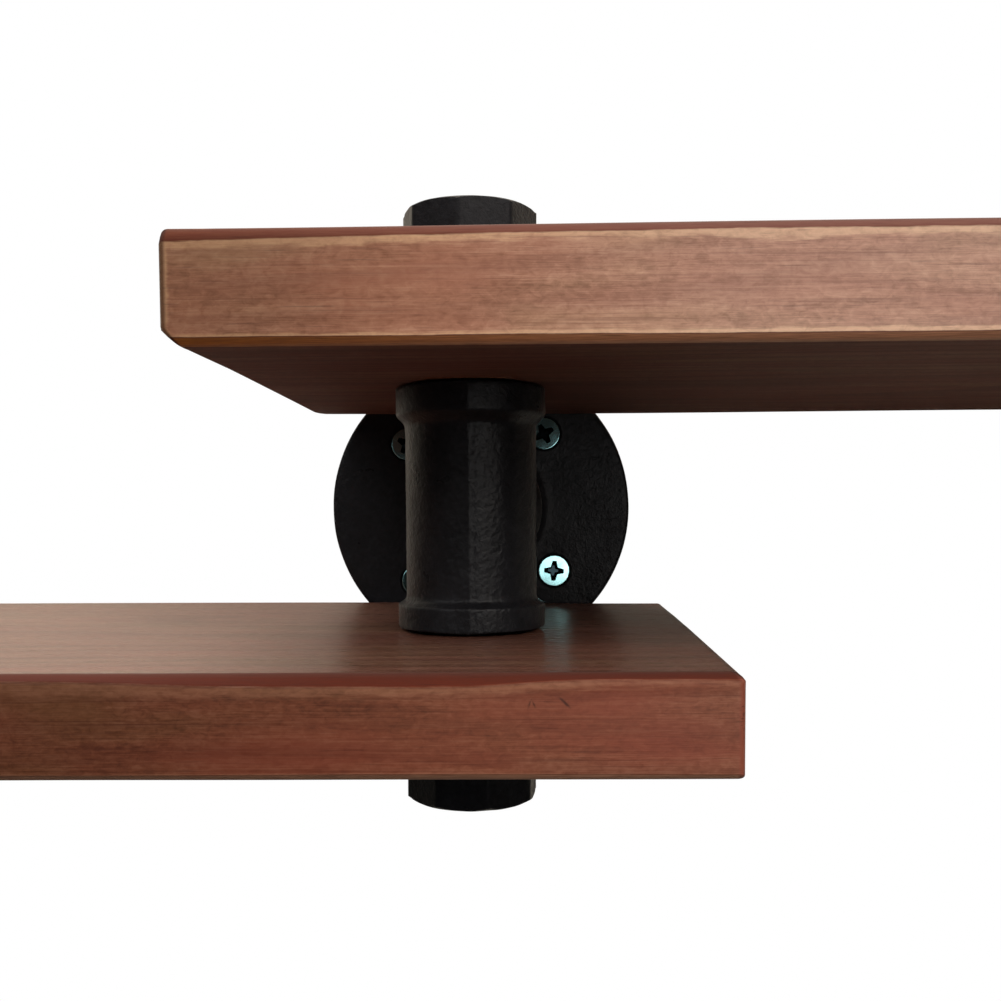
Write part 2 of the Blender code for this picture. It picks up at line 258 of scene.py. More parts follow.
# Pine, sawn, stained and wiped, then satin varnish: thin straight lines along the board, a streaky red brown
# that is paler where the edges were sanded through and darker in the bare eased strips, a soft low sheen.
pineLook = {
    # noise stretched along the board: mm long, mm wide, detail, roughness, distortion
    "streaks": {
        "lines": (45, 0.45, 2, 0.5, 0),  # late wood, as thin dark lines
        "fibre": (5, 0.22, 3, 0.6, 0.1),  # drawn coarser than real fibres, which are too fine to show
        "curl": (1.9, 1.1, 3, 0.6, 0.6),  # faint figure across the grain
        "mottle": (32, 3, 3, 0.55, 0.3),  # uneven stain
        "blush": (50, 12, 2, 0.5, 0.2),  # redder and yellower patches
        "ragged": (6, 0.7, 3, 0.6, 0.2),  # border of the sanded edge
        "slow": (40, 30, 1, 0.5, 0),  # how far in the sanding went
        "check": (8, 0.6, 1, 0.5, 0),  # short splits
        "fleck": (9, 0.5, 1, 0.5, 0.2),  # small dark marks
    },
    # how much of each makes the figure, what is added to the sum, and where its deep and pale tones lie
    "figure": {"fibre": 0.6, "curl": 0.8, "mottle": 0.8}, "figureAdd": -0.595, "figureSpan": (0.2, 0.8),
    # a pattern or a mark, what it goes from and to, and the share that these become
    "shares": {
        "redder": ("blush", 0.42, 0.7, 0, 0.62), "tanner": ("blush", 0.47, 0.3, 0, 0.45),
        "dark": ("lines", 0.44, 0.3, 0, 0.42), "bright": ("lines", 0.58, 0.72, 0, 0.26),
        "lateStop": ("saw", 1, 0.93, 0, 1), "broken": ("mottle", 0.3, 0.6, 0.5, 1),  # of the rings
        "patchy": ("curl", 0.3, 0.6, 0.6, 1),  # of the sanding
        "streaky": ("fibre", 0.3, 0.7, 0, 0.6),  # of the eased strips
        "fleck": ("fleck", 0.36, 0.22, 0, 0.3),
        "easedEnd": ("fromEnd", 0.1, -0.3, 0, 0.7), "nearEnd": ("fromEnd", 4, 0.5, 0, 1),
        "lowStrip": ("under", 0.1, 0.4, 0, 1), "below": ("under", 0.6, 0.95, 0, 1),
        "underTone": ("under", 0.6, 0.95, 1, 0.36),  # painted shade: the underside is darkened to about a third
        "rough": ("fibre", 0.3, 0.7, 0.22, 0.36),  # roughness from smooth to open grain
    },
    # growth rings: mm apart, how drawn out along the board, how much and how slowly they wander, lean of the
    # heart to the board, and how dark late wood is on the broad faces, the sides and the ends
    "ring": 4.4, "ringStretch": 8, "ringWander": 20, "ringSlow": 0.3, "ringLean": (0, 0.2, 0.12),
    "lateRise": (0.4, 0.92, 0, 1), "ringBroad": 0.5, "ringSide": 0.22, "ringEnd": 0.6,
    "wornFrom": (-60, 100), "wornSlow": 2.4, "endSlope": 1.6, "easeBorder": 0.08,  # mm, and mm per mm
    "takeWave": 260, "endTone": 0.8,  # mm along the board between the darkest places of the slow wave of stain and painted shade; end grain drinks more
    # strength and turn of the colour on the top, greyer and yellower there as a painted sheen, and below
    "topStrength": (0, 0.4, 0.84, 1), "topHue": (0, 0.4, 0.504, 0.5), "underStrength": 1.15,
    "underHue": 0.486, "splitSpan": (0.34, 0.28), "dentRagged": 1.6, "dentSpan": (2.2, 1.2),
    # mark: small dark marks; endStrip: painted shade on the eased strip of each end, on the broad faces
    "mark": "#2b150d", "endStrip": "#2a120a",
    "sideGloss": 0.12, "underGloss": 0.5, "easeGloss": 0.7,  # more roughness where there is less varnish
    "lineRelief": 0.8, "relief": 0.06, "reliefShown": 0.4, "shine": 0.42,  # relief in mm
}
# wornReach and wornGrow: mm the sanded edge reaches in at wornFrom's first X, and how much more at the other.
# take: X where the slow wave starts, and its strength; the wave is partly uneven stain and partly painted
# light
# and shade. darkEnd and rich: two X, with the tone or the strength of colour there; the darker end is painted
# shade. pith: mm from the heart of the tree to the origin. dents: scratches that hold dark stain, each its
# place, turn in degrees, mm long, mm wide and how dark.
pineTones = {
    "upper": {
        "deep": "#84583f", "mid": "#ae7b61", "pale": "#c8987b", "red": "#a46750", "tan": "#b68c68",
        "line": "#784a38", "worn": "#dcae88", "ease": "#673529", "lowEase": "#ca8353", "endEase": "#4f281c",
        "wornMost": 0.8, "wornReach": 0.75, "wornGrow": 0.9, "wornSoft": 0.6, "wornRagged": 2.4,
        "endWear": 0.75, "easeRagged": 0.6, "easeSoft": 0.2, "shift": (37, 4, 11), "take": (7, 0.13),
        "darkEnd": (-42, 0, 0.68, 1), "rich": (-50, 50, 1.12, 0.9), "pith": (0, 70, 25),
        "splits": 0, "dents": []},
    "lower": {
        "deep": "#4f2c1d", "mid": "#764530", "pale": "#8d5c45", "red": "#7d3c2c", "tan": "#6f4a2d",
        "line": "#4a2215", "worn": "#a06f55", "ease": "#5c200d", "lowEase": "#ab7b60", "endEase": "#7f4131",
        "wornMost": 0.55, "wornReach": 2.3, "wornGrow": -2.2, "wornSoft": 1.1, "wornRagged": 3.2,
        "endWear": 3.5, "easeRagged": 0.9, "easeSoft": 0.55, "shift": (-210, 31, -23),
        "take": (-22, 0.29), "darkEnd": (600, 560, 0.9, 1), "rich": (-90, 40, 1.03, 1),
        "pith": (0, 95, -40), "splits": 0.55,
        "dents": [((13.2, -158, -34.8), -70, 1.8, 0.4, 0.6), ((13.9, -158, -34.9), 65, 1.5, 0.35, 0.6),
                  ((19.5, -158, -34.7), 45, 2.6, 0.5, 0.75), ((16.6, -158, -34.5), 2, 5.5, 0.2, 0.35)]},
}


def stainedPine(put, where, tone):
    p, t = named(pineLook), named(tone)
    tint = named({key: linear(value) for key, value in tone.items() if isinstance(value, str)})
    # marks on the mesh: mm inside a face, negative on the eased strip; mm from the ends; 1 on the front, back
    # and ends; 1 on the end grain; 1 below and 0.5 on the eased strips there
    labels = ("fromEdge", "fromEnd", "onSide", "onEnd", "under")
    source = {label: put("Attribute", attribute_name=label).outputs["Fac"] for label in labels}
    edge, end, onSide, onEnd, _ = source.values()
    for part, (long, wide, detail, rough, bend) in p.streaks.items():
        at = put("Mapping", {"Vector": where, "Location": t.shift, "Scale": (1 / long, 1 / wide, 1 / wide)})
        source[part] = put("TexNoise", {"Vector": at, "Scale": 1, "Detail": detail, "Roughness": rough,
                                        "Distortion": bend})
    # growth rings about the heart of the tree, which lies outside the board
    at = put("Mapping", {"Vector": where, "Location": t.pith, "Rotation": p.ringLean,
                         "Scale": (1 / p.ringStretch, 1, 1)})
    pace = 0.1 * math.pi / p.ring  # at scale 1 the node's rings are a tenth of pi apart
    source["saw"] = put("TexWave", {"Vector": at, "Scale": pace, "Distortion": p.ringWander, "Detail": 2,
                                    "Detail Scale": p.ringSlow, "Detail Roughness": 0.5},
                        wave_type="RINGS", rings_direction="X", wave_profile="SAW")
    shares = {part: put("MapRange", (source[of], *span)) for part, (of, *span) in p.shares.items()}
    share = named(shares)

    amount = p.figureAdd
    for part, much in p.figure.items():
        amount = put("Math", (source[part], much, amount), **timesPlus)
    colour = put("ValToRGB", (amount,))
    stops = colour.color_ramp.elements
    stops[0].position, stops[1].position = p.figureSpan
    stops[0].color, stops[1].color = tint.deep, tint.pale
    stops.new(0.5).color = tint.mid
    # late wood darkens slowly and stops short
    late = put("MapRange", (source["saw"], *p.lateRise), **smoothly)
    shown = put("Mix", {0: onSide, 2: p.ringBroad, 3: p.ringSide}, **numbers)
    shown = put("Mix", {0: onEnd, 2: shown, 3: p.ringEnd}, **numbers)
    for part in (share.lateStop, share.broken, shown):
        late = put("Math", (late, part), **times)
    # the sanded edge reaches further in here and there, less beside the ends, its border along the fibres
    along = put("SeparateXYZ", (where,)).outputs["X"]
    near = t.wornReach - (p.wornSlow + t.wornRagged) / 2
    reach = put("MapRange", (along, *p.wornFrom, near, near + t.wornGrow))
    for part, far in (("slow", p.wornSlow), ("ragged", t.wornRagged)):
        reach = put("Math", (source[part], far, reach), **timesPlus)
    fromRim = put("Math", (end, p.endSlope, t.endWear), **timesPlus)
    fromRim = put("Math", (fromRim, edge), operation="MINIMUM")
    inside = put("Math", (reach, fromRim), operation="SUBTRACT")
    worn = put("MapRange", (inside, -t.wornSoft, t.wornSoft, 0, t.wornMost), **smoothly)
    longGrain = put("Math", (onSide, onEnd), operation="SUBTRACT")
    for part in (longGrain, share.patchy):
        worn = put("Math", (worn, part), **times)
    # the eased strips are bare: dark above, sanded pale below, their borders a little ragged
    border = put("Math", (source["ragged"], t.easeRagged, edge), **timesPlus)
    limit = t.easeRagged / 2 + p.easeBorder
    eased = put("MapRange", (border, limit + t.easeSoft, limit - t.easeSoft, 0, 1), **smoothly)
    strip = put("Mix", {0: share.lowStrip, 6: tint.ease, 7: tint.lowEase}, **colours)
    strip = put("Mix", {0: share.streaky, 6: strip, 7: tint.line}, **colours)
    # eased strip of each end: painted shade on the broad faces, its own colour on the sides
    endStrip = put("Mix", {0: onSide, 6: linear(p.endStrip), 7: tint.endEase}, **colours)
    layers = [(share.redder, tint.red), (share.tanner, tint.tan), (late, tint.line),
              (share.dark, tint.line), (share.bright, tint.pale), (worn, tint.worn),
              (eased, strip), (share.easedEnd, endStrip)]
    for much, look in layers:
        colour = put("Mix", {0: much, 6: colour, 7: look}, **colours)
    # painted light and shade, partly stain: the sides darker and lighter in one slow sine wave along X, and a
    # darker end
    start, swing = t.take
    pace = 2 * math.pi / p.takeWave
    wave = put("Math", (along, pace, -start * pace), **timesPlus)
    take = put("Math", (put("Math", (wave,), operation="SINE"), swing, 1), **timesPlus)
    take = put("Math", (take, put("MapRange", (along, *t.darkEnd), **smoothly)), **times)
    take = put("Mix", {0: onSide, 2: 1, 3: take}, **numbers)
    take = put("Mix", {0: onEnd, 2: take, 3: p.endTone}, **numbers)
    # painted shade: the value drops to about a third on the underside
    take = put("Math", (take, share.underTone), **times)
    # painted sheen: the colour on the top is greyed and turned yellower; below it is richer and redder
    notTop = put("Math", (onSide, share.below), **greater)
    rich = put("Mix", {0: share.below, 2: put("MapRange", (along, *t.rich)), 3: p.underStrength}, **numbers)
    strength = put("Math", (rich, put("MapRange", (notTop, *p.topStrength))), **times)
    hue = put("Mix", {0: share.below, 2: put("MapRange", (notTop, *p.topHue)), 3: p.underHue}, **numbers)
    colour = put("HueSaturation", {"Hue": hue, "Saturation": strength, "Value": take, "Color": colour})
    # short dark splits beside the ends, a few small dark marks anywhere, and the scratches
    split = put("MapRange", (source["check"], *p.splitSpan, 0, t.splits))
    marks = [put("Math", (split, share.nearEnd), **times)]
    for spot, turn, long, wide, dark in t.dents:
        at = put("Mapping", {"Vector": where, "Location": spot, "Rotation": (0, math.radians(turn), 0),
                             "Scale": (long / 2, 1, wide / 2)}, vector_type="TEXTURE")
        off = put("VectorMath", (at,), operation="LENGTH")
        off = put("Math", (source["curl"], p.dentRagged, off), **timesPlus)
        marks.append(put("MapRange", (off, *p.dentSpan, 0, dark)))
    mark = share.fleck
    for other in marks:
        mark = put("Math", (mark, other), **greater)
    colour = put("Mix", {0: mark, 6: colour, 7: linear(p.mark)}, **colours)

    rough = share.rough
    for part, more in ((share.below, p.underGloss), (onSide, p.sideGloss), (eased, p.easeGloss)):
        rough = put("Math", (part, more, rough), **timesPlus)
    height = put("Math", (source["lines"], p.lineRelief, source["fibre"]), **timesPlus)
    bump = put("Bump", {"Strength": p.reliefShown, "Distance": p.relief * mm, "Height": height})
    return put("BsdfPrincipled", {"Base Color": colour, "Roughness": rough, "Normal": bump,
                                  "Specular IOR Level": p.shine})


# the sockets that each metal fills: a tone between two colours, an uneven gloss and a fine relief in mm
def metalSockets(put, k, tone, cloud, height):
    colour = put("Mix", {0: tone, 6: linear(k.base), 7: linear(k.clouded)}, **colours)
    rough = put("MapRange", (cloud, *noiseSpan, *k.roughness))
    bump = put("Bump", {"Strength": k.reliefShown, "Distance": k.relief * mm, "Height": height})
    return {"Base Color": colour, "Roughness": rough, "Normal": bump}


# Malleable iron, sand cast and blacked in oil: nearly black, a fine sandy skin, a dull broken shine. Grit,
# lumps, mottle and relief are mm; lumpTone and mottleTone are their parts in the light and dark.
ironLook = {"grit": 0.55, "lumps": 1.7, "mottle": 9, "relief": 0.2, "reliefShown": 1, "gritDeep": 0.3,
            "lumpTone": 0.7, "mottleTone": 0.5, "toneSpan": (0.42, 0.8, 0, 1), "base": "#19191b",
            "clouded": "#232326", "roughness": (0.27, 0.37), "shine": 0.16, "capShine": 0.07}


def sandCastIron(put, where, shine):
    k = named(ironLook)
    grit = put("TexNoise", {"Vector": where, "Scale": 1 / k.grit, "Detail": 2, "Roughness": 0.6})
    lumps = put("TexNoise", {"Vector": where, "Scale": 1 / k.lumps, "Detail": 3, "Roughness": 0.6,
                             "Distortion": 0.6})
    mottle = put("TexNoise", {"Vector": where, "Scale": 1 / k.mottle, "Detail": 3})
    amount = put("Math", (lumps, k.lumpTone, put("Math", (mottle, k.mottleTone), **times)), **timesPlus)
    amount = put("MapRange", (amount, *k.toneSpan))
    height = put("Math", (grit, k.gritDeep, lumps), **timesPlus)
    sockets = metalSockets(put, k, amount, mottle, height)
    return put("BsdfPrincipled", {**sockets, "Specular IOR Level": shine})


# Welded steel pipe, lacquered black: smoother than the castings, faint draw lines, a soft shine. The lines
# are mm wide and mm long.
pipeLook = {"lines": (0.35, 24), "cloud": 5, "base": "#101010", "clouded": "#232221",
            "roughness": (0.32, 0.48), "relief": 0.02, "reliefShown": 0.4, "shine": 0.35}


def lacqueredPipe(put, where, alongY):
    k = named(pipeLook)
    wide, long = k.lines
    pitch = (1 / wide, 1 / long, 1 / wide) if alongY else (1 / wide, 1 / wide, 1 / long)
    at = put("Mapping", {"Vector": where, "Scale": pitch})
    lines = put("TexNoise", {"Vector": at, "Scale": 1, "Detail": 2})
    cloud = put("TexNoise", {"Vector": where, "Scale": 1 / k.cloud, "Detail": 3})
    sockets = metalSockets(put, k, cloud, cloud, lines)
    return put("BsdfPrincipled", {**sockets, "Specular IOR Level": k.shine})


# Steel screw, zinc plated and clear passivated: bright, slightly blue, a fine grain, painted shade in the
# cross.
zincLook = {"base": "#b0e4e6", "clouded": "#96cdd1", "recess": "#263237", "recessSpan": (0, 0.35, 0, 1),
            "grain": 0.5, "cloud": 2.4, "relief": 0.01,  # mm
            "reliefShown": 0.3, "roughness": (0.12, 0.22)}


def platedZinc(put, where):
    k = named(zincLook)
    grain = put("TexNoise", {"Vector": where, "Scale": 1 / k.grain, "Detail": 2})
    cloud = put("TexNoise", {"Vector": where, "Scale": 1 / k.cloud, "Detail": 2})
    sockets = metalSockets(put, k, cloud, cloud, grain)
    # painted shade: the cross recess is darkened towards the recess colour
    crossShade = put("MapRange", (put("Attribute", attribute_name="inRecess").outputs["Fac"], *k.recessSpan))
    sockets["Base Color"] = put("Mix", {0: crossShade, 6: sockets["Base Color"], 7: linear(k.recess)}, **colours)
    return put("BsdfPrincipled", {**sockets, "Metallic": 1})


upperPine = newMaterial("stainedPineUpper", stainedPine, pineTones["upper"])
lowerPine = newMaterial("stainedPineLower", stainedPine, pineTones["lower"])
castIron = newMaterial("sandCastIron", sandCastIron, ironLook["shine"])
capIron = newMaterial("sandCastCapIron", sandCastIron, ironLook["capShine"])  # a duller batch
pipeToWall = newMaterial("lacqueredPipeToWall", lacqueredPipe, True)
pipeThroughBoard = newMaterial("lacqueredPipeThroughBoard", lacqueredPipe, False)
screwZinc = newMaterial("platedZinc", platedZinc)
print("materials:", len(bpy.data.materials))


# Boards, in mm
boardLook = {
    "length": 600, "hole": 13.9, "holeSteps": 64, "drillOver": 5,  # the hole is a radius
    "easeWander": 0.08, "easeLeast": 0.2,  # how much the hand-eased edges vary
    "roundness": 0.2,  # 0 is a flat chamfer, 1 is a quarter round
    "endEase": 1.4, "endShare": 0.6,  # easing of the ends, and how much of it the long edges lose there
    "step": 4,  # between sections
    "endRows": [8.4, 6.2, 4.2, 2.6, 1.4, 0.6],  # rows on an end, from its border
    "rows": [0.12, 0.45, 1, 1.7, 2.7, 4.2, 6.2], "broadRows": [11, 18, 27, 38, 52, 66],  # from the edges
    "sideFace": 16.4, "broadFace": 146.4,  # between the eased edges
    "hollow": 0.1, "hollowWave": 55, "hollowLong": 2,  # planing
    "sideHalf": 8, "broadHalf": 70,  # the middle of each face, where planing shows
    "frontWarp": (42, 38), "backWarp": (62, 58),  # how far in a warp begins and over what width it grows
    "cornerReach": 30, "cutReach": 6,  # how far along the board the end's shape is felt
}
# Each board: which way its inner end faces, how askew that end is, its back corner's radius in plan, how far
# it is cut back at its lower and upper edge, how much of the end's easing the underside gets, and how much
# narrower the sanded band is along the lower edges. Warps: face, edge, mm up, then mm from the inner end to
# the middle of the warp and its reach. Eases: depth and height at the front top, front below, back below and
# back top; frontMore is added to the first height, by place along X.
boardShapes = {
    "upper_board": {
        "innerSide": -1, "askew": 1.9, "backCorner": 8, "cutBelow": 2.2, "cutAbove": 0, "endBelow": 1,
        "lowWear": 2.2, "seed": 5, "holes": ["middle_upper_nipple", "right_upper_nipple"],
        "warps": [("below", "front", -0.75, 0, 230), ("below", "back", -0.45, 90, 80),
                  ("above", "front", -0.5, 0, 60), ("above", "front", 0.3, 160, 60)],
        "eases": [(2, 1.75), (1.7, 1.5), (2, 2), (2, 2)],
        "frontMore": lambda x: 0.8 * np.exp(-((x + 60) / 50) ** 2),  # most at the inner end
    },
    "lower_board": {
        "innerSide": 1, "askew": 5.4, "backCorner": 2, "cutBelow": 0, "cutAbove": 0.9, "endBelow": 0.3,
        "lowWear": 12, "seed": 8, "holes": ["middle_lower_nipple", "left_lower_nipple"],
        "warps": [("below", "front", 1.4, 0, 1e6), ("above", "back", -0.8, 0, 70)],
        "eases": [(4.2, 0.8), (1.3, 1.25), (2, 2), (2, 2)],
        "frontMore": lambda x: 1.15 / (1 + np.exp(-(x + 56) / 7)) / (1 + np.exp((x - 11) / 4)),  # by the tee
    },
}


# A board is a rounded Y-Z section carried along X: four eased corners, each a mix of a chamfer and a quarter
# round, with straight faces between. At the ends it shrinks along a quarter ellipse. The inner end is askew.
def boardGrid(node, shape):
    b = named(boardLook)
    low, high = boxMm(node)
    length, endEase = b.length, b.endEase
    innerSide = shape.innerSide
    cadAskew = high[0] - low[0] - length
    inner = high[0] - cadAskew if innerSide > 0 else low[0] + cadAskew
    turn = np.linspace(0, np.pi / 2, 6)
    endIn, endBack = endEase * (1 - np.cos(turn)), endEase * (1 - np.sin(turn))  # shrink, mm from the end
    rows = np.array(b.endRows) + endEase
    middle = np.arange(endEase + 1.0, length - endEase - 0.9, b.step)
    s = np.concatenate([0 * rows, endBack[::-1], middle, length - endBack, length - 0 * rows])
    shrink = np.concatenate([rows, endIn[::-1], 0 * middle, endIn, rows[::-1]])
    strip = -0.5 * np.sin(2 * turn)
    plain = np.minimum(middle, length - middle) - endEase
    endGap = np.concatenate([rows - endEase, strip[::-1], plain, strip, rows[::-1] - endEase])
    x = inner - innerSide * s
    rng = np.random.default_rng(shape.seed)

    def easeAlong(size):  # the size plus three slow sine waves along the edge
        waves, starts = rng.uniform(40, 160, 3), rng.uniform(0, 6.3, 3)
        wander = np.sin(x[:, None] / waves * 2 * np.pi + starts).sum(1) / 2
        return np.maximum(size + b.easeWander * wander - b.endShare * shrink, b.easeLeast)

    front, back = low[1] + shrink, high[1] - shrink
    bottom = low[2] + np.maximum(shrink - endEase, 0) + shape.endBelow * np.minimum(shrink, endEase)
    top = high[2] - shrink
    phase = np.linspace(0, 1, 7)
    soft = b.roundness
    leave = soft * (1 - np.sin(phase * np.pi / 2)) + (1 - soft) * (1 - phase)  # 1 to 0
    enter = soft * (1 - np.cos(phase * np.pi / 2)) + (1 - soft) * phase  # 0 to 1
    corners = [(front, top, -1, 1), (front, bottom, -1, -1), (back, bottom, 1, -1), (back, top, 1, 1)]
    arcs, arcGaps = [], []
    for k, (yEdge, zEdge, ySign, zSign) in enumerate(corners):
        deep, tall = shape.eases[k]
        deep = easeAlong(deep)[:, None]
        tall = easeAlong(tall + (shape.frontMore(x) if k == 0 else 0))[:, None]
        a, c = (leave, enter) if k % 2 == 0 else (enter, leave)  # even corners start on the level faces
        arcs.append(np.stack([yEdge[:, None] - ySign * deep * a, zEdge[:, None] - zSign * tall * c], -1))
        arcGaps.append(np.minimum(phase, 1 - phase) * -1.4 * (deep + tall) / 2)  # minus mm into the strip
    loop, gaps = [], []
    for k in range(4):
        start, end = arcs[k][:, -1], arcs[(k + 1) % 4][:, 0]
        span = np.linalg.norm(end - start, axis=1)
        broad = k % 2 == 1
        across = np.array(b.rows + b.broadRows if broad else b.rows)
        across = across / (b.broadFace if broad else b.sideFace)
        share = np.concatenate([across, [0.5], 1 - across[::-1]])
        loop += [arcs[k], start[:, None] + (end - start)[:, None] * share[:, None]]
        fromTop, fromBelow = (share, 1 - share) if k < 2 else (1 - share, share)
        gaps += [arcGaps[k], np.minimum(fromTop, shape.lowWear * fromBelow) * span[:, None]]
    section, gap = np.concatenate(loop, 1), np.concatenate(gaps, 1)
    # round the section: top to front, front, front to below, below, below to back, back, back to top, top
    flat, wide, half = np.ones(loop[1].shape[1]), np.ones(loop[3].shape[1]), 0 * phase + 0.5
    half[0] = 0
    onSide = np.concatenate([phase, flat, 1 - phase, 0 * wide, phase, flat, 1 - phase, 0 * wide])
    under = np.concatenate([0 * phase, 0 * flat, half, wide, half[::-1], 0 * flat, 0 * phase, 0 * wide])
    atEnd = np.clip(shrink / endEase, 0, 1)[:, None]
    y, z = section[..., 0], section[..., 1]
    _, middleY, middleZ = (low + high) / 2
    s = s[:, None]
    faces = {"below": z < middleZ, "above": z > middleZ}
    edges = {"front": np.clip((low[1] + b.frontWarp[0] - y) / b.frontWarp[1], 0, 1),
             "back": np.clip((y - high[1] + b.backWarp[0]) / b.backWarp[1], 0, 1)}
    z = z + sum(faces[face] * edges[side] * rise * np.exp(-((s - at) / reach) ** 2)
                for face, side, rise, at, reach in shape.warps)
    # the inner end: askew, rounded in plan at the back corner, cut back along its lower or upper edge
    endShift = innerSide * shape.askew * (y - low[1]) / (high[1] - low[1]) * (1 - s / length)
    corner = shape.backCorner
    fromBack = np.clip(corner - (high[1] - y), 0, corner)
    cornerIn = corner - np.sqrt(np.maximum(corner ** 2 - fromBack ** 2, 0))
    endShift = endShift - innerSide * cornerIn * np.clip(1 - s / b.cornerReach, 0, 1) ** 2
    cut = np.clip(shape.cutBelow - (z - low[2]), 0, None) + np.clip(shape.cutAbove - (high[2] - z), 0, None)
    xs = x[:, None] + endShift - innerSide * cut * np.clip(1 - s / b.cutReach, 0, 1)
    spots = np.stack([xs, y, z], -1)
    waves = unevenness(spots.reshape(-1, 3) / np.array([b.hollowLong, 1, 1]), b.hollowWave, shape.seed)
    dip = b.hollow * (0.5 + 0.5 * np.clip(waves, -1, 1)).reshape(y.shape)
    spots[..., 1] -= np.sign(y - middleY) * dip * (np.abs(z - middleZ) < b.sideHalf)
    spots[..., 2] -= np.sign(z - middleZ) * dip * (np.abs(y - middleY) < b.broadHalf)
    shrink, endGap = shrink[:, None], endGap[:, None]
    gap = np.where(shrink > endEase + 0.01, endGap, gap)  # on the end grain, mm from its border
    return spots, {"fromEdge": gap, "fromEnd": endGap + 0 * gap, "onSide": np.maximum(onSide, atEnd),
                   "under": under * (1 - atEnd), "onEnd": np.clip((shrink - endEase) / 0.5, 0, 1) + 0 * gap}


def makeBoard(node, finish):
    shape = named(boardShapes[node])
    spots, marks = boardGrid(node, shape)
    board = gridPiece(node, spots, capped=True, marks=marks)
    low, high = boxMm(node)
    b = named(boardLook)
    bottom, top = low[2] - b.drillOver, high[2] + b.drillOver
    drill = turned(np.array([[0, top], [b.hole, top], [b.hole, bottom], [0, bottom]]), b.holeSteps)
    carve(board, [gridPiece("drill", drill + midMm(nipple) * (1, 1, 0)) for nipple in shape.holes])
    dress(board, node, finish)


makeBoard("upper_board", upperPine)
makeBoard("lower_board", lowerPine)
print("boards made")


# Cast fittings, in mm
fittingLook = {
    "reach": 29.5, "bodyRadius": 16.5, "bandRadius": 18.5,
    "band": (7, 2.2), "lowBand": (6.2, 1.3),  # height of the thick band, and of its foot
    "rimSoft": 0.5, "bandSoft": 0.3, "rootSoft": 0.45,
    "socketRadius": 13.65, "socketDeep": 14, "passage": 10.55, "lead": 1, "bend": 18,
    "rowStep": 1.5, "roundSteps": 112, "boreSteps": 96, "voxel": 0.455, "smoothing": 2,
    "boreRadius": 14.2, "boreFrom": 8,  # inside these the skin has no parting line
    "seamTall": 0.1, "seamWide": 0.5,  # parting line
    "keelTall": 0.38, "keelWide": 5, "keelSink": 0.9,  # the rise to it
    "groundFrom": 17, "groundOver": 5, "groundOff": 0.85,  # the upper mouth was ground smooth
    "uneven": 0.06, "unevenWave": 8,
    "lumps": 0.085, "lumpWave": 1.1, "lumpWide": 6,  # the sandy skin that shows as shape
}
brackets = {side: midMm(side + "_flange")[0] for side in ("left", "middle", "right")}  # mm along X
pipeAxis = midMm("middle_upper_cap")[1]


# the outside of one mouth, from its middle: rim, thick band, foot of the band, body
def mouthCorners(band):
    f = named(fittingLook)
    tall, foot = fittingLook[band]
    return [(0, f.reach), (f.bandRadius, f.reach, f.rimSoft),
            (f.bandRadius, f.reach - tall, f.bandSoft),
            (f.bodyRadius, f.reach - tall - foot, f.rootSoft)]


# the hollow of one mouth: countersunk opening, threaded socket, step down to the passage
def socketCorners(foot):
    f = named(fittingLook)
    wide, floor = f.socketRadius + f.lead, f.reach - f.socketDeep
    return [(0, f.reach + 3), (wide, f.reach + 3), (wide, f.reach),
            (f.socketRadius, f.reach - f.lead), (f.socketRadius, floor),
            (f.passage, floor - 1.5), (f.passage, foot), (0, foot)]


# a round rod carried from a mouth above, through a quarter bend, to a mouth at the wall side
def bentRod(radius, over):
    f = named(fittingLook)
    quarter = np.linspace(0, np.pi / 2, 17)
    straight = np.linspace(f.reach - 3 + over, f.bend + 0.5, 6)
    yPath = np.concatenate([0 * straight, f.bend * (1 - np.cos(quarter)), straight[::-1]])[:, None]
    zPath = np.concatenate([straight, f.bend * (1 - np.sin(quarter)), 0 * straight])[:, None]
    tilt = np.concatenate([0 * straight, quarter, 0 * straight + np.pi / 2])[:, None]
    angle = anglesRound(f.boreSteps)
    side, lift = radius * np.cos(angle), radius * np.sin(angle)
    return np.stack([side + 0 * yPath, yPath + lift * np.cos(tilt), zPath + lift * np.sin(tilt)], -1)


# the lathe of a fitting's outside, and of its hollows
def castOutside(corners):
    return turned(filled(softened(corners), fittingLook["rowStep"]), fittingLook["roundSteps"])


def castHollow(corners):
    return turned(softened(corners), fittingLook["boreSteps"])


# cast skin: the joined solid is rebuilt in even faces, its corners run soft, the parting line is raised where
# the mould halves met (the plane of the two axes), and the whole skin is made slightly uneven
def castSkin(piece, seed):
    f = named(fittingLook)
    remesh = piece.modifiers.new("even faces", "REMESH")
    remesh.mode, remesh.voxel_size = "VOXEL", f.voxel * mm
    smooth = piece.modifiers.new("soft corners", "SMOOTH")
    smooth.factor, smooth.iterations = 0.5, f.smoothing
    settle(piece)
    spots, ways = readPoints(piece.data)
    x, y, z = spots.T
    inRun = (np.hypot(x, y) < f.boreRadius) & (np.abs(z) > f.boreFrom)
    inBranch = (np.hypot(x, z) < f.boreRadius) & (y > f.boreFrom)
    ground = 1 - f.groundOff * np.clip((z - f.groundFrom) / f.groundOver, 0, 1)
    keel = f.keelTall * (np.exp(-np.abs(x) / f.keelWide) - f.keelSink) * ground
    seam = np.where(inRun | inBranch, 0, f.seamTall * np.exp(-(x / f.seamWide) ** 2) + keel)
    nearSeam = 0.35 + 0.65 * np.exp(-(x / f.lumpWide) ** 2)  # the sand was loosest along the parting line
    skin = f.uneven * (unevenness(spots, f.unevenWave, seed) - 1)
    skin += f.lumps * nearSeam * ground * unevenness(spots, f.lumpWave, seed + 50, 40)
    writePoints(piece.data, spots + ways * (seam + skin)[:, None])


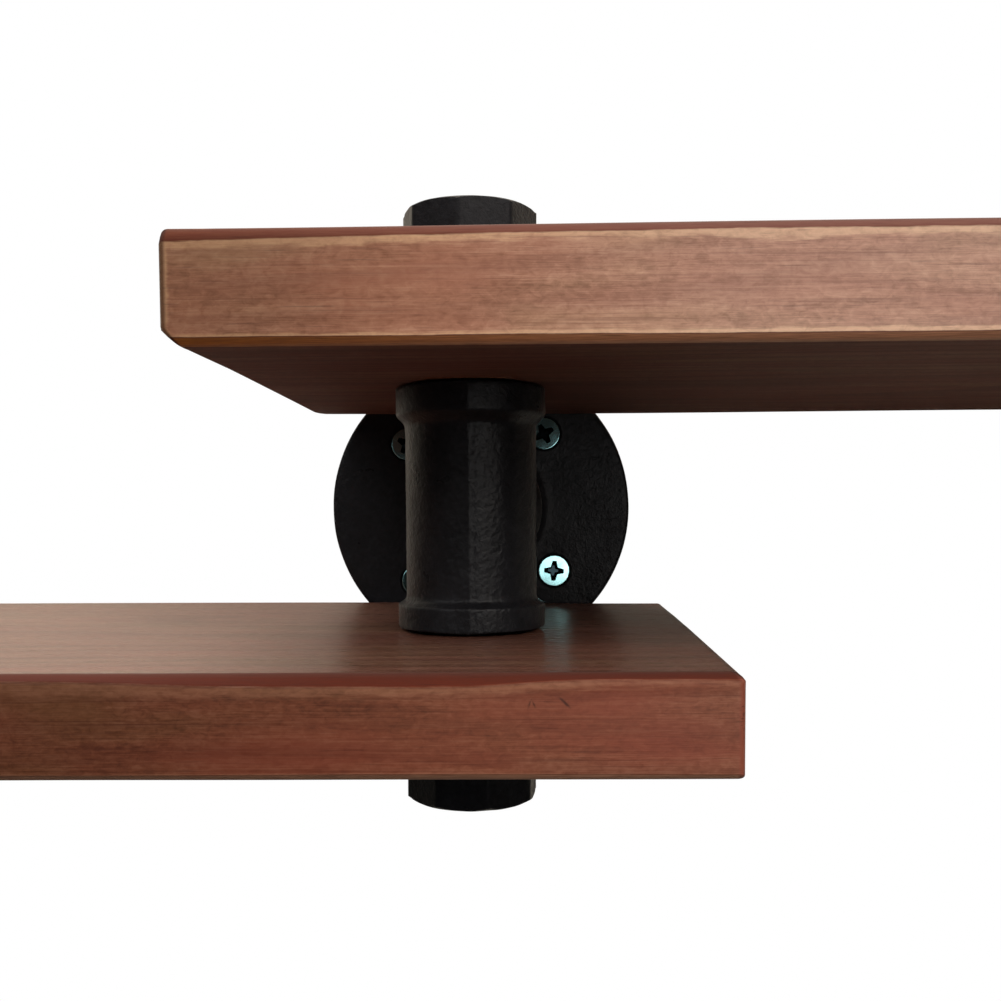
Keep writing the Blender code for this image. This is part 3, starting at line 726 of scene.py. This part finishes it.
# skin, place and finish of a fitting that was made about the origin
def finishFitting(piece, node, x, turn, seed):
    castSkin(piece, seed)
    spots, _ = readPoints(piece.data)
    writePoints(piece.data, spots @ turn.T + np.array((x, pipeAxis, 0)))
    piece.data.shade_smooth()
    dress(piece, node, castIron)


def makeTee(node, x, seed):
    mouth = mouthCorners("band")
    run = mouth + [(r, -z, *soft) for r, z, *soft in mouthCorners("lowBand")[::-1]]
    tee = gridPiece(node, castOutside(run))
    branch = castOutside(mouth + [(fittingLook["bodyRadius"], 0), (0, 0)])
    carve(tee, [gridPiece("branch", branch @ intoWall.T)], "UNION")
    hollow = socketCorners(0)[:-1]
    runBore = castHollow(hollow + [(r, -z) for r, z in hollow[::-1]])
    branchBore = castHollow(socketCorners(0)) @ intoWall.T
    carve(tee, [gridPiece("runBore", runBore), gridPiece("branchBore", branchBore)])
    finishFitting(tee, node, x, upright, seed)


def makeElbow(node, x, turn, seed):
    f = named(fittingLook)
    elbow = gridPiece(node, bentRod(f.bodyRadius, 0), capped=True)
    foot = f.reach - sum(f.band) - 1
    band = castOutside(mouthCorners("band") + [(f.bodyRadius - 0.4, foot), (0, foot)])
    carve(elbow, [gridPiece("bandUp", band), gridPiece("bandWall", band @ intoWall.T)], "UNION")
    socket = castHollow(socketCorners(f.reach - f.socketDeep - 3))
    passage = bentRod(f.passage - 0.05, -3)
    carve(elbow, [gridPiece("socketUp", socket), gridPiece("socketWall", socket @ intoWall.T),
                  gridPiece("passage", passage, capped=True)])
    finishFitting(elbow, node, x, turn, seed)


makeTee("middle_tee", brackets["middle"], 3)
makeElbow("left_elbow", brackets["left"], upsideDown, 11)
makeElbow("right_elbow", brackets["right"], upright, 12)
print("tee and elbows made")


# Wall flanges and their screws, in mm
flangeLook = {
    "radius": 47.5, "plate": 6, "tall": 18, "hub": 18.65, "hubDraft": 0.5, "hubSoft": 1.2, "fillet": 4.5,
    "rimSoft": 1.6, "backSoft": 0.4, "bore": 13.65, "hole": 2.75, "sink": 5.7, "sinkDeep": 3,
    "lead": 1, "drillOver": 2, "rowStep": 1.6, "roundSteps": 144, "holeSteps": 40, "uneven": 0.06,
    "unevenWave": 11, "sharpFrom": 40,  # degrees
}
screwLook = {
    "head": 5, "land": 0.5, "crown": 0.04, "crownRows": (0, 0.4, 0.7, 0.88, 0.93), "neckAt": 2.9,
    "rimSoft": (0.14, 0.15), "neckSoft": 0.4, "neckLong": 0.6, "pointCurve": 0.8, "ridgeSharp": 4,
    "neck": 0.86, "shank": 2.3, "core": 0.66, "pitch": 2.2, "length": 45, "point": 8, "shankFrom": 0.9,
    "rise": 2, "roundSteps": 20, "shankRows": 200, "crossSpan": 6.4, "crossWide": 1.3, "crossRoot": 2.3,
    "crossDeep": 2.4, "crossTaper": 0.5, "crossShadeFrom": 0.16, "crossShadeOver": 2, "crossShadeWide": 3.3, "crossShadeDeep": 2.6,
    "sharpFrom": 35,  # degrees
}
# how each screw that shows sits: turn of its cross, tilt about X and about Z, degrees; others by seatSpread
screwSeat = {"middle_wall_screw_1": (28, -2.4, -0.6), "middle_wall_screw_2": (61, -2.6, 0.4),
             "middle_wall_screw_3": (12, -2.2, 9), "middle_wall_screw_4": (-4, -1.3, 5)}
seatSpread = np.array((45, 1, 1))


def spin(axis, degrees):
    return np.array(Matrix.Rotation(math.radians(degrees), 3, axis))


# screw: head rows as a lathe, then a shank whose radius rises in a narrow ridge that climbs one pitch a turn
def screwMesh():
    w = named(screwLook)
    flatTop = [(w.head * share, -w.crown * share ** 2) for share in w.crownRows]
    rim = [(w.head, -w.crown, w.rimSoft[0]), (w.head, -w.crown - w.land, w.rimSoft[1])]
    neck = [(w.shank, -w.neckAt, w.neckSoft), (w.shank * w.neck, -w.neckAt - w.neckLong)]
    head = softened(flatTop + rim + neck, 4)
    z = np.linspace(-w.neckAt - w.shankFrom, -w.length, w.shankRows)[:, None]
    angle = anglesRound(w.roundSteps)
    taper = np.clip((w.length + z) / w.point, 0, 1) ** w.pointCurve
    ridge = (0.5 + 0.5 * np.cos(2 * np.pi * z / w.pitch - angle)) ** w.ridgeSharp
    start = np.clip((-w.neckAt - w.shankFrom - z) / w.rise, 0, 1)
    core = w.core + (w.neck - w.core) * (1 - start)
    radius = w.shank * taper * (core + (1 - w.core) * ridge * start)
    return gridMesh("screw", np.concatenate([turned(head, w.roundSteps), around(radius, z, angle)]))


# cross recess: a twelve point plus, its arms wider at the root, that shrinks as it goes down
def crossGrid():
    w = named(screwLook)
    a, b, c = w.crossSpan / 2, w.crossWide / 2, w.crossRoot / 2
    arm = np.array([(a, -b), (a, b), (c, c)])
    plan = np.concatenate([arm @ spin("Z", 90 * k)[:2, :2].T for k in range(4)])
    size = np.array([1.1, 1.0, w.crossTaper])[:, None, None]
    deep = np.array([0.6, 0.0, -w.crossDeep])[:, None, None]
    return np.concatenate([plan * size, deep + 0 * plan[..., :1]], -1)


screwMaster = newPiece("screwMaster", screwMesh())
carve(screwMaster, [gridPiece("cross", crossGrid(), capped=True)])
screwSpots, _ = readPoints(screwMaster.data)
fromAxis, below = np.hypot(screwSpots[:, 0], screwSpots[:, 1]), -screwSpots[:, 2]
# painted shade in the cross recess: from just below the head, down and in to a given depth and width
inRecess = np.clip((below - screwLook["crossShadeFrom"]) / screwLook["crossShadeOver"], 0, 1)
inRecess = inRecess * (fromAxis < screwLook["crossShadeWide"]) * (below < screwLook["crossShadeDeep"])
addMark(screwMaster.data, "inRecess", inRecess)
for side in brackets:
    for k in range(1, 5):
        node = "%s_wall_screw_%d" % (side, k)
        at = midMm(node)
        rng = np.random.default_rng(17 * k + len(side))
        cross, tiltX, tiltZ = screwSeat.get(node, tuple(rng.uniform(-seatSpread, seatSpread)))
        seat = spin("X", tiltX) @ spin("Z", tiltZ) @ outFromWall @ spin("Z", cross)
        screw = newPiece("%s_screw_%d" % (side, k), screwMaster.data.copy())
        writePoints(screw.data, screwSpots @ seat.T + np.array([at[0], -flangeLook["plate"], at[2]]))
        dress(screw, node, screwZinc, screwLook["sharpFrom"])
bpy.data.objects.remove(screwMaster)


# flange: one closed profile (hub, fillet, plate, rim, back, bore) turned about the pipe, drilled four times
def makeFlange(node, side, seed):
    f = named(flangeLook)
    corners = [(f.bore + f.lead, f.tall), (f.hub - f.hubDraft, f.tall, f.hubSoft),
               (f.hub, f.plate, f.fillet), (f.radius, f.plate, f.rimSoft),
               (f.radius, 0, f.backSoft), (f.bore, 0, f.backSoft), (f.bore, f.tall - f.lead)]
    grid = turned(filled(softened(corners), f.rowStep), f.roundSteps) @ outFromWall.T
    flange = gridPiece(node, grid + np.array([brackets[side], 0, 0]), looped=True)
    face, over = f.plate, f.drillOver
    drill = turned(np.array([[0, face + over], [f.sink + over, face + over], [f.sink, face],
                             [f.hole, face - f.sinkDeep], [f.hole, -over], [0, -over]]), f.holeSteps)
    screws = ["%s_wall_screw_%d" % (side, k) for k in range(1, 5)]
    carve(flange, [gridPiece("hole", drill @ outFromWall.T + midMm(screw) * (1, 0, 1)) for screw in screws])
    spots, ways = readPoints(flange.data)
    skin = f.uneven * (unevenness(spots, f.unevenWave, seed) - 1) * (spots[:, 1] < -1)
    writePoints(flange.data, spots + ways * skin[:, None])
    flange.data.shade_smooth()
    dress(flange, node, castIron, f.sharpFrom)


for seed, side in enumerate(brackets, 20):
    makeFlange(side + "_flange", side, seed)
print("flanges and screws made")


# Pipe nipples, in mm
nippleLook = {"radius": 13.35, "bore": 10.55, "pitch": 1.814, "threadLong": 16.5, "threadDeep": 0.95,
              "runOut": 2.5, "endEase": (0.5, 0.8), "turnRows": 8, "plainRows": 12, "roundSteps": 72,
              "sharpFrom": 50}  # degrees


# nipple: a tube whose outside dips in a V that climbs one pitch a turn, within threadLong of each end
def nippleGrid(length):
    n = named(nippleLook)
    step = n.pitch / n.turnRows
    dense = np.arange(0, n.threadLong + 2, step)
    z = np.arange(0, length, step)
    if length > 2 * dense[-1] + 4:  # long enough for a plain stretch between the threads
        plain = np.linspace(dense[-1] + 1, length - dense[-1] - 1, n.plainRows)
        z = np.concatenate([dense, plain, length - dense[::-1]])
    angle = anglesRound(n.roundSteps)
    fromEnd = np.minimum(z - z[0], z[-1] - z)[:, None]
    ease, easeLong = n.endEase
    deep = n.threadDeep * np.clip((n.threadLong - fromEnd) / n.runOut, 0, 1)
    deep = deep + ease * np.clip(1 - fromEnd / easeLong, 0, 1)
    groove = np.abs(2 * ((z[:, None] / n.pitch - angle / (2 * np.pi)) % 1) - 1)
    outside = around(n.radius - deep * groove, z[:, None], angle)
    inside = turned(np.array([[n.bore, z[-1]], [n.bore, z[0]]]), n.roundSteps)
    return np.concatenate([outside, inside])


def makeNipple(node, grid, finish):
    nipple = gridPiece(node, grid, looped=True)
    dress(nipple, node, finish, nippleLook["sharpFrom"])


for side, x in brackets.items():
    low, high = boxMm(side + "_wall_nipple")
    grid = nippleGrid(high[1] - low[1]) @ intoWall.T + np.array([x, low[1], 0])
    makeNipple(side + "_wall_nipple", grid, pipeToWall)
for node in ("middle_upper_nipple", "middle_lower_nipple", "left_lower_nipple", "right_upper_nipple"):
    low, high = boxMm(node)
    at = midMm(node)
    makeNipple(node, nippleGrid(high[2] - low[2]) + np.array([at[0], at[1], low[2]]), pipeThroughBoard)
print("nipples made")


# Octagonal caps, in mm
capLook = {"sides": 8, "flat": 15.345, "tall": 21.5, "cornerSoft": 0.12, "cornerSharp": 9, "rimSoft": 0.25,
           "crown": 0.12, "footSoft": 0.5, "rimIn": 0.5, "rimSlope": 1.9, "bore": 13.65,
           "boreEase": (0.4, 0.5), "boreDeep": 17.5, "footTall": 2, "rowStep": 0.4, "roundSteps": 192,
           "uneven": 0.05, "unevenWave": 8, "sharpFrom": 50}  # degrees
capTurn = {"middle_upper": -6.8, "middle_lower": 15, "left_lower": 4, "right_upper": 20}  # degrees


# cap: a lathe whose radius is an eight sided outline, its corners held back by a soft minimum with a circle;
# a cone turned on the rim makes its edge round, the top is slightly domed and the bore is round
def capGrid(cornerAt):
    c = named(capLook)
    flat, bore, sharp = c.flat, c.bore, c.cornerSharp
    angle = anglesRound(c.roundSteps)
    wedge = 2 * np.pi / c.sides
    eight = flat / np.cos((angle - cornerAt) % wedge - wedge / 2)
    limit = flat / math.cos(wedge / 2) - c.cornerSoft
    eight = flat - np.log(np.exp(-sharp * (eight - flat)) + np.exp(-sharp * (limit - flat + 0.1))) / sharp
    rimAt = c.tall - c.crown
    easeIn, easeUp = c.boreEase
    outer = [(0, c.tall), (flat * 0.5, c.tall - c.crown * 0.25), (flat - c.rimIn, rimAt, c.rimSoft),
             (flat, rimAt - c.rimIn / c.rimSlope, c.rimSoft), (flat, 0, c.footSoft), (bore + easeIn, 0)]
    outer = filled(softened(outer, 8), c.rowStep)
    inner = [(bore + easeIn, 0), (bore, easeUp), (bore, c.boreDeep, 1), (0, c.boreDeep)]
    inner = softened(inner, 4)[1:]
    out, z = outer[:, :1], outer[:, 1:]
    share = np.clip((out - bore) / (flat - bore), 0, 1) ** 0.7  # round near the bore, eight sided outside
    share = np.where(z > rimAt, 0, np.where(z > c.footTall, 1, share))
    radius = out * (1 + share * (eight / flat - 1))
    cone = flat - c.rimIn + c.rimSlope * (rimAt - z)
    radius = np.minimum(radius, np.maximum(cone, out))
    return np.concatenate([around(radius, z, angle), turned(inner, c.roundSteps)])


def makeCap(node, turn, seed):
    low, high = boxMm(node)
    at = (low + high) / 2
    up = "_upper_" in node
    cornerAt = math.radians(turn - 90)
    grid = capGrid(cornerAt if up else math.pi - cornerAt) @ (upright if up else upsideDown).T
    cap = gridPiece(node, grid + np.array([at[0], at[1], low[2] if up else high[2]]))
    spots, ways = readPoints(cap.data)
    skin = capLook["uneven"] * (np.minimum(unevenness(spots, capLook["unevenWave"], seed), 1) - 1)
    writePoints(cap.data, spots + ways * skin[:, None])
    cap.data.shade_smooth()
    dress(cap, node, capIron, capLook["sharpFrom"])


for seed, (key, turn) in enumerate(capTurn.items(), 31):
    makeCap(key + "_cap", turn, seed)
print("caps made")


# Stage, light and camera, in metres
stageLook = {
    "floorDrop": 1.7, "floorRadius": 1.25, "floorFade": 0.55, "floor": "#ecebe8", "floorPale": 0.5,
    "wall": "#f1ecdd", "wallWide": 1.5, "wallFrom": -0.95, "wallTo": 1.3, "wallBack": 0.0006,
    "paintMottle": 60, "paintRough": (0.75, 0.9), "paintShine": 0.2,  # mottle in mm
    "room": "#dfe6ec", "roomLevels": (0.02, 0.03), "roomBlend": (-0.25, 0.15), "backdropFrom": (0.2, 0.5),
    "aim": (0, -0.1, 0),
    "lamps": {  # place, size, watts, colour
        "window": ((0.77, -1.2, 1.05), 1.3, 18.3, "#fff9f2"),
        "rightLow": ((0.83, -1.43, 0.33), 1, 4.6, "#fff9f2"),
        "leftHigh": ((-0.77, -1.02, 1.2), 1.2, 12.9, "#f8f7f5"),
        "leftMid": ((-0.68, -1.55, 0.58), 0.8, 1.5, "#f8f7f5"),
        "aboveBehind": ((-0.35, 0.55, 1.35), 1, 18.5, "#fbf8f3"),
        "card": ((0.3, -1.3, -0.05), 0.32, 0.62, "#ffffff"),
    },
}
stage = named(stageLook)


# Matt paint, rolled on: one pale colour, its sheen a little uneven.
def mattPaint(put, where, hexText):
    mottle = put("TexNoise", {"Vector": where, "Scale": 1 / stage.paintMottle, "Detail": 3})
    rough = put("MapRange", (mottle, 0, 1, *stage.paintRough))
    return put("BsdfPrincipled", {"Base Color": linear(hexText), "Roughness": rough,
                                  "Specular IOR Level": stage.paintShine})


# The same paint on a floor that fades out at its rim, so that no edge shows. The camera sees it as pale as
# the backdrop, with the shelf's shadow still on it.
def fadingPaint(put, where, hexText):
    rim = stage.floorRadius * metre
    onFloor = put("Mapping", {"Vector": where, "Scale": (1, 1, 0)})
    radius = put("VectorMath", (onFloor,), operation="LENGTH").outputs["Value"]
    keep = put("MapRange", (radius, rim, rim * stage.floorFade, 0, 1), **smoothly)
    seen = put("LightPath").outputs["Is Camera Ray"]
    glow = put("Emission", {"Strength": put("Math", (seen, stage.floorPale), **times)})
    pale = put("AddShader", (mattPaint(put, where, hexText), glow))
    return put("MixShader", (keep, put("BsdfTransparent"), pale))


# pale floor well below the shelf
ringsOut = np.linspace(0, stage.floorRadius * metre, 8)
floor = gridPiece("floor", turned(np.stack([ringsOut, 0 * ringsOut - stage.floorDrop * metre], 1), 96))
floor.data.materials.append(newMaterial("paleFloor", fadingPaint, stage.floor))

# the wall that the shelf hangs on: it only shades and reflects, and the camera looks past it to the world
wide, back, foot, head = stage.wallWide, stage.wallBack, stage.wallFrom, stage.wallTo
wallCorners = [(-wide, -back, foot), (wide, -back, foot), (wide, -back, head), (-wide, -back, head)]
wallMesh = bpy.data.meshes.new("wall")
wallMesh.from_pydata(wallCorners, [], [(0, 1, 2, 3)])
wall = newPiece("wall", wallMesh)
wall.data.materials.append(newMaterial("wallPaint", mattPaint, stage.wall))
wall.visible_camera = False
wall.visible_shadow = False  # lamps behind it still reach the backs

# white where the camera looks, and in what shines behind the shelf; a dim room everywhere else
world = bpy.data.worlds.new("studio")
scene.world = world
world.use_nodes = True
world.node_tree.nodes.clear()
put = partial(addNode, world.node_tree)
ray = put("LightPath").outputs
way = put("SeparateXYZ", (put("TexCoord").outputs["Generated"],)).outputs
behindShelf = put("MapRange", (way["Y"], *stage.backdropFrom, 0, 1))
shiny = put("Math", (ray["Is Glossy Ray"], behindShelf), **times)
white = put("Math", (ray["Is Camera Ray"], shiny), **greater)
white = put("Math", (white, ray["Is Transmission Ray"]), **greater)
level = put("MapRange", (way["Z"], *stage.roomBlend, *stage.roomLevels))
room = put("Background", {"Color": linear(stage.room), "Strength": level})
backdrop = put("Background", {"Color": (1, 1, 1, 1), "Strength": 1})
put("OutputWorld", {"Surface": put("MixShader", (white, room, backdrop))})

for name, (at, size, watts, hexText) in stage.lamps.items():
    lamp = bpy.data.lights.new(name, "AREA")
    lamp.shape, lamp.size, lamp.energy, lamp.color = "SQUARE", size, watts, linear(hexText)[:3]
    lampObject = bpy.data.objects.new(name, lamp)
    lampObject.location = at
    lampObject.rotation_euler = (Vector(stage.aim) - Vector(at)).to_track_quat("-Z", "Y").to_euler()
    lampObject.visible_camera = False
    scene.collection.objects.link(lampObject)

# focal is in pixels of the frame, angles are in degrees
cameraLook = {"focal": 1063.83, "frame": 1001, "sensor": 36, "at": (0.010383, -0.346756, 0.000605),
              "yaw": -0.697, "pitch": -3.259, "roll": -0.294, "shiftY": 0.0656}
yaw, pitch, roll = (math.radians(cameraLook[k]) for k in ("yaw", "pitch", "roll"))
ahead = Vector((math.sin(yaw) * math.cos(pitch), math.cos(yaw) * math.cos(pitch), math.sin(pitch)))
right = Vector((math.cos(yaw), -math.sin(yaw), 0))
over = right.cross(ahead)
right, over = right * math.cos(roll) + over * math.sin(roll), over * math.cos(roll) - right * math.sin(roll)
lens = bpy.data.cameras.new("camera")
lens.sensor_width = cameraLook["sensor"]
lens.lens = cameraLook["focal"] / cameraLook["frame"] * cameraLook["sensor"]
lens.shift_y, lens.clip_start, lens.clip_end = cameraLook["shiftY"], 0.01, 50
camera = bpy.data.objects.new("camera", lens)
camera.matrix_world = Matrix((right, over, -ahead)).transposed().to_4x4()
camera.location = cameraLook["at"]
scene.collection.objects.link(camera)
scene.camera = camera
scene.view_settings.view_transform = "Standard"
print("stage, lamps and camera made")
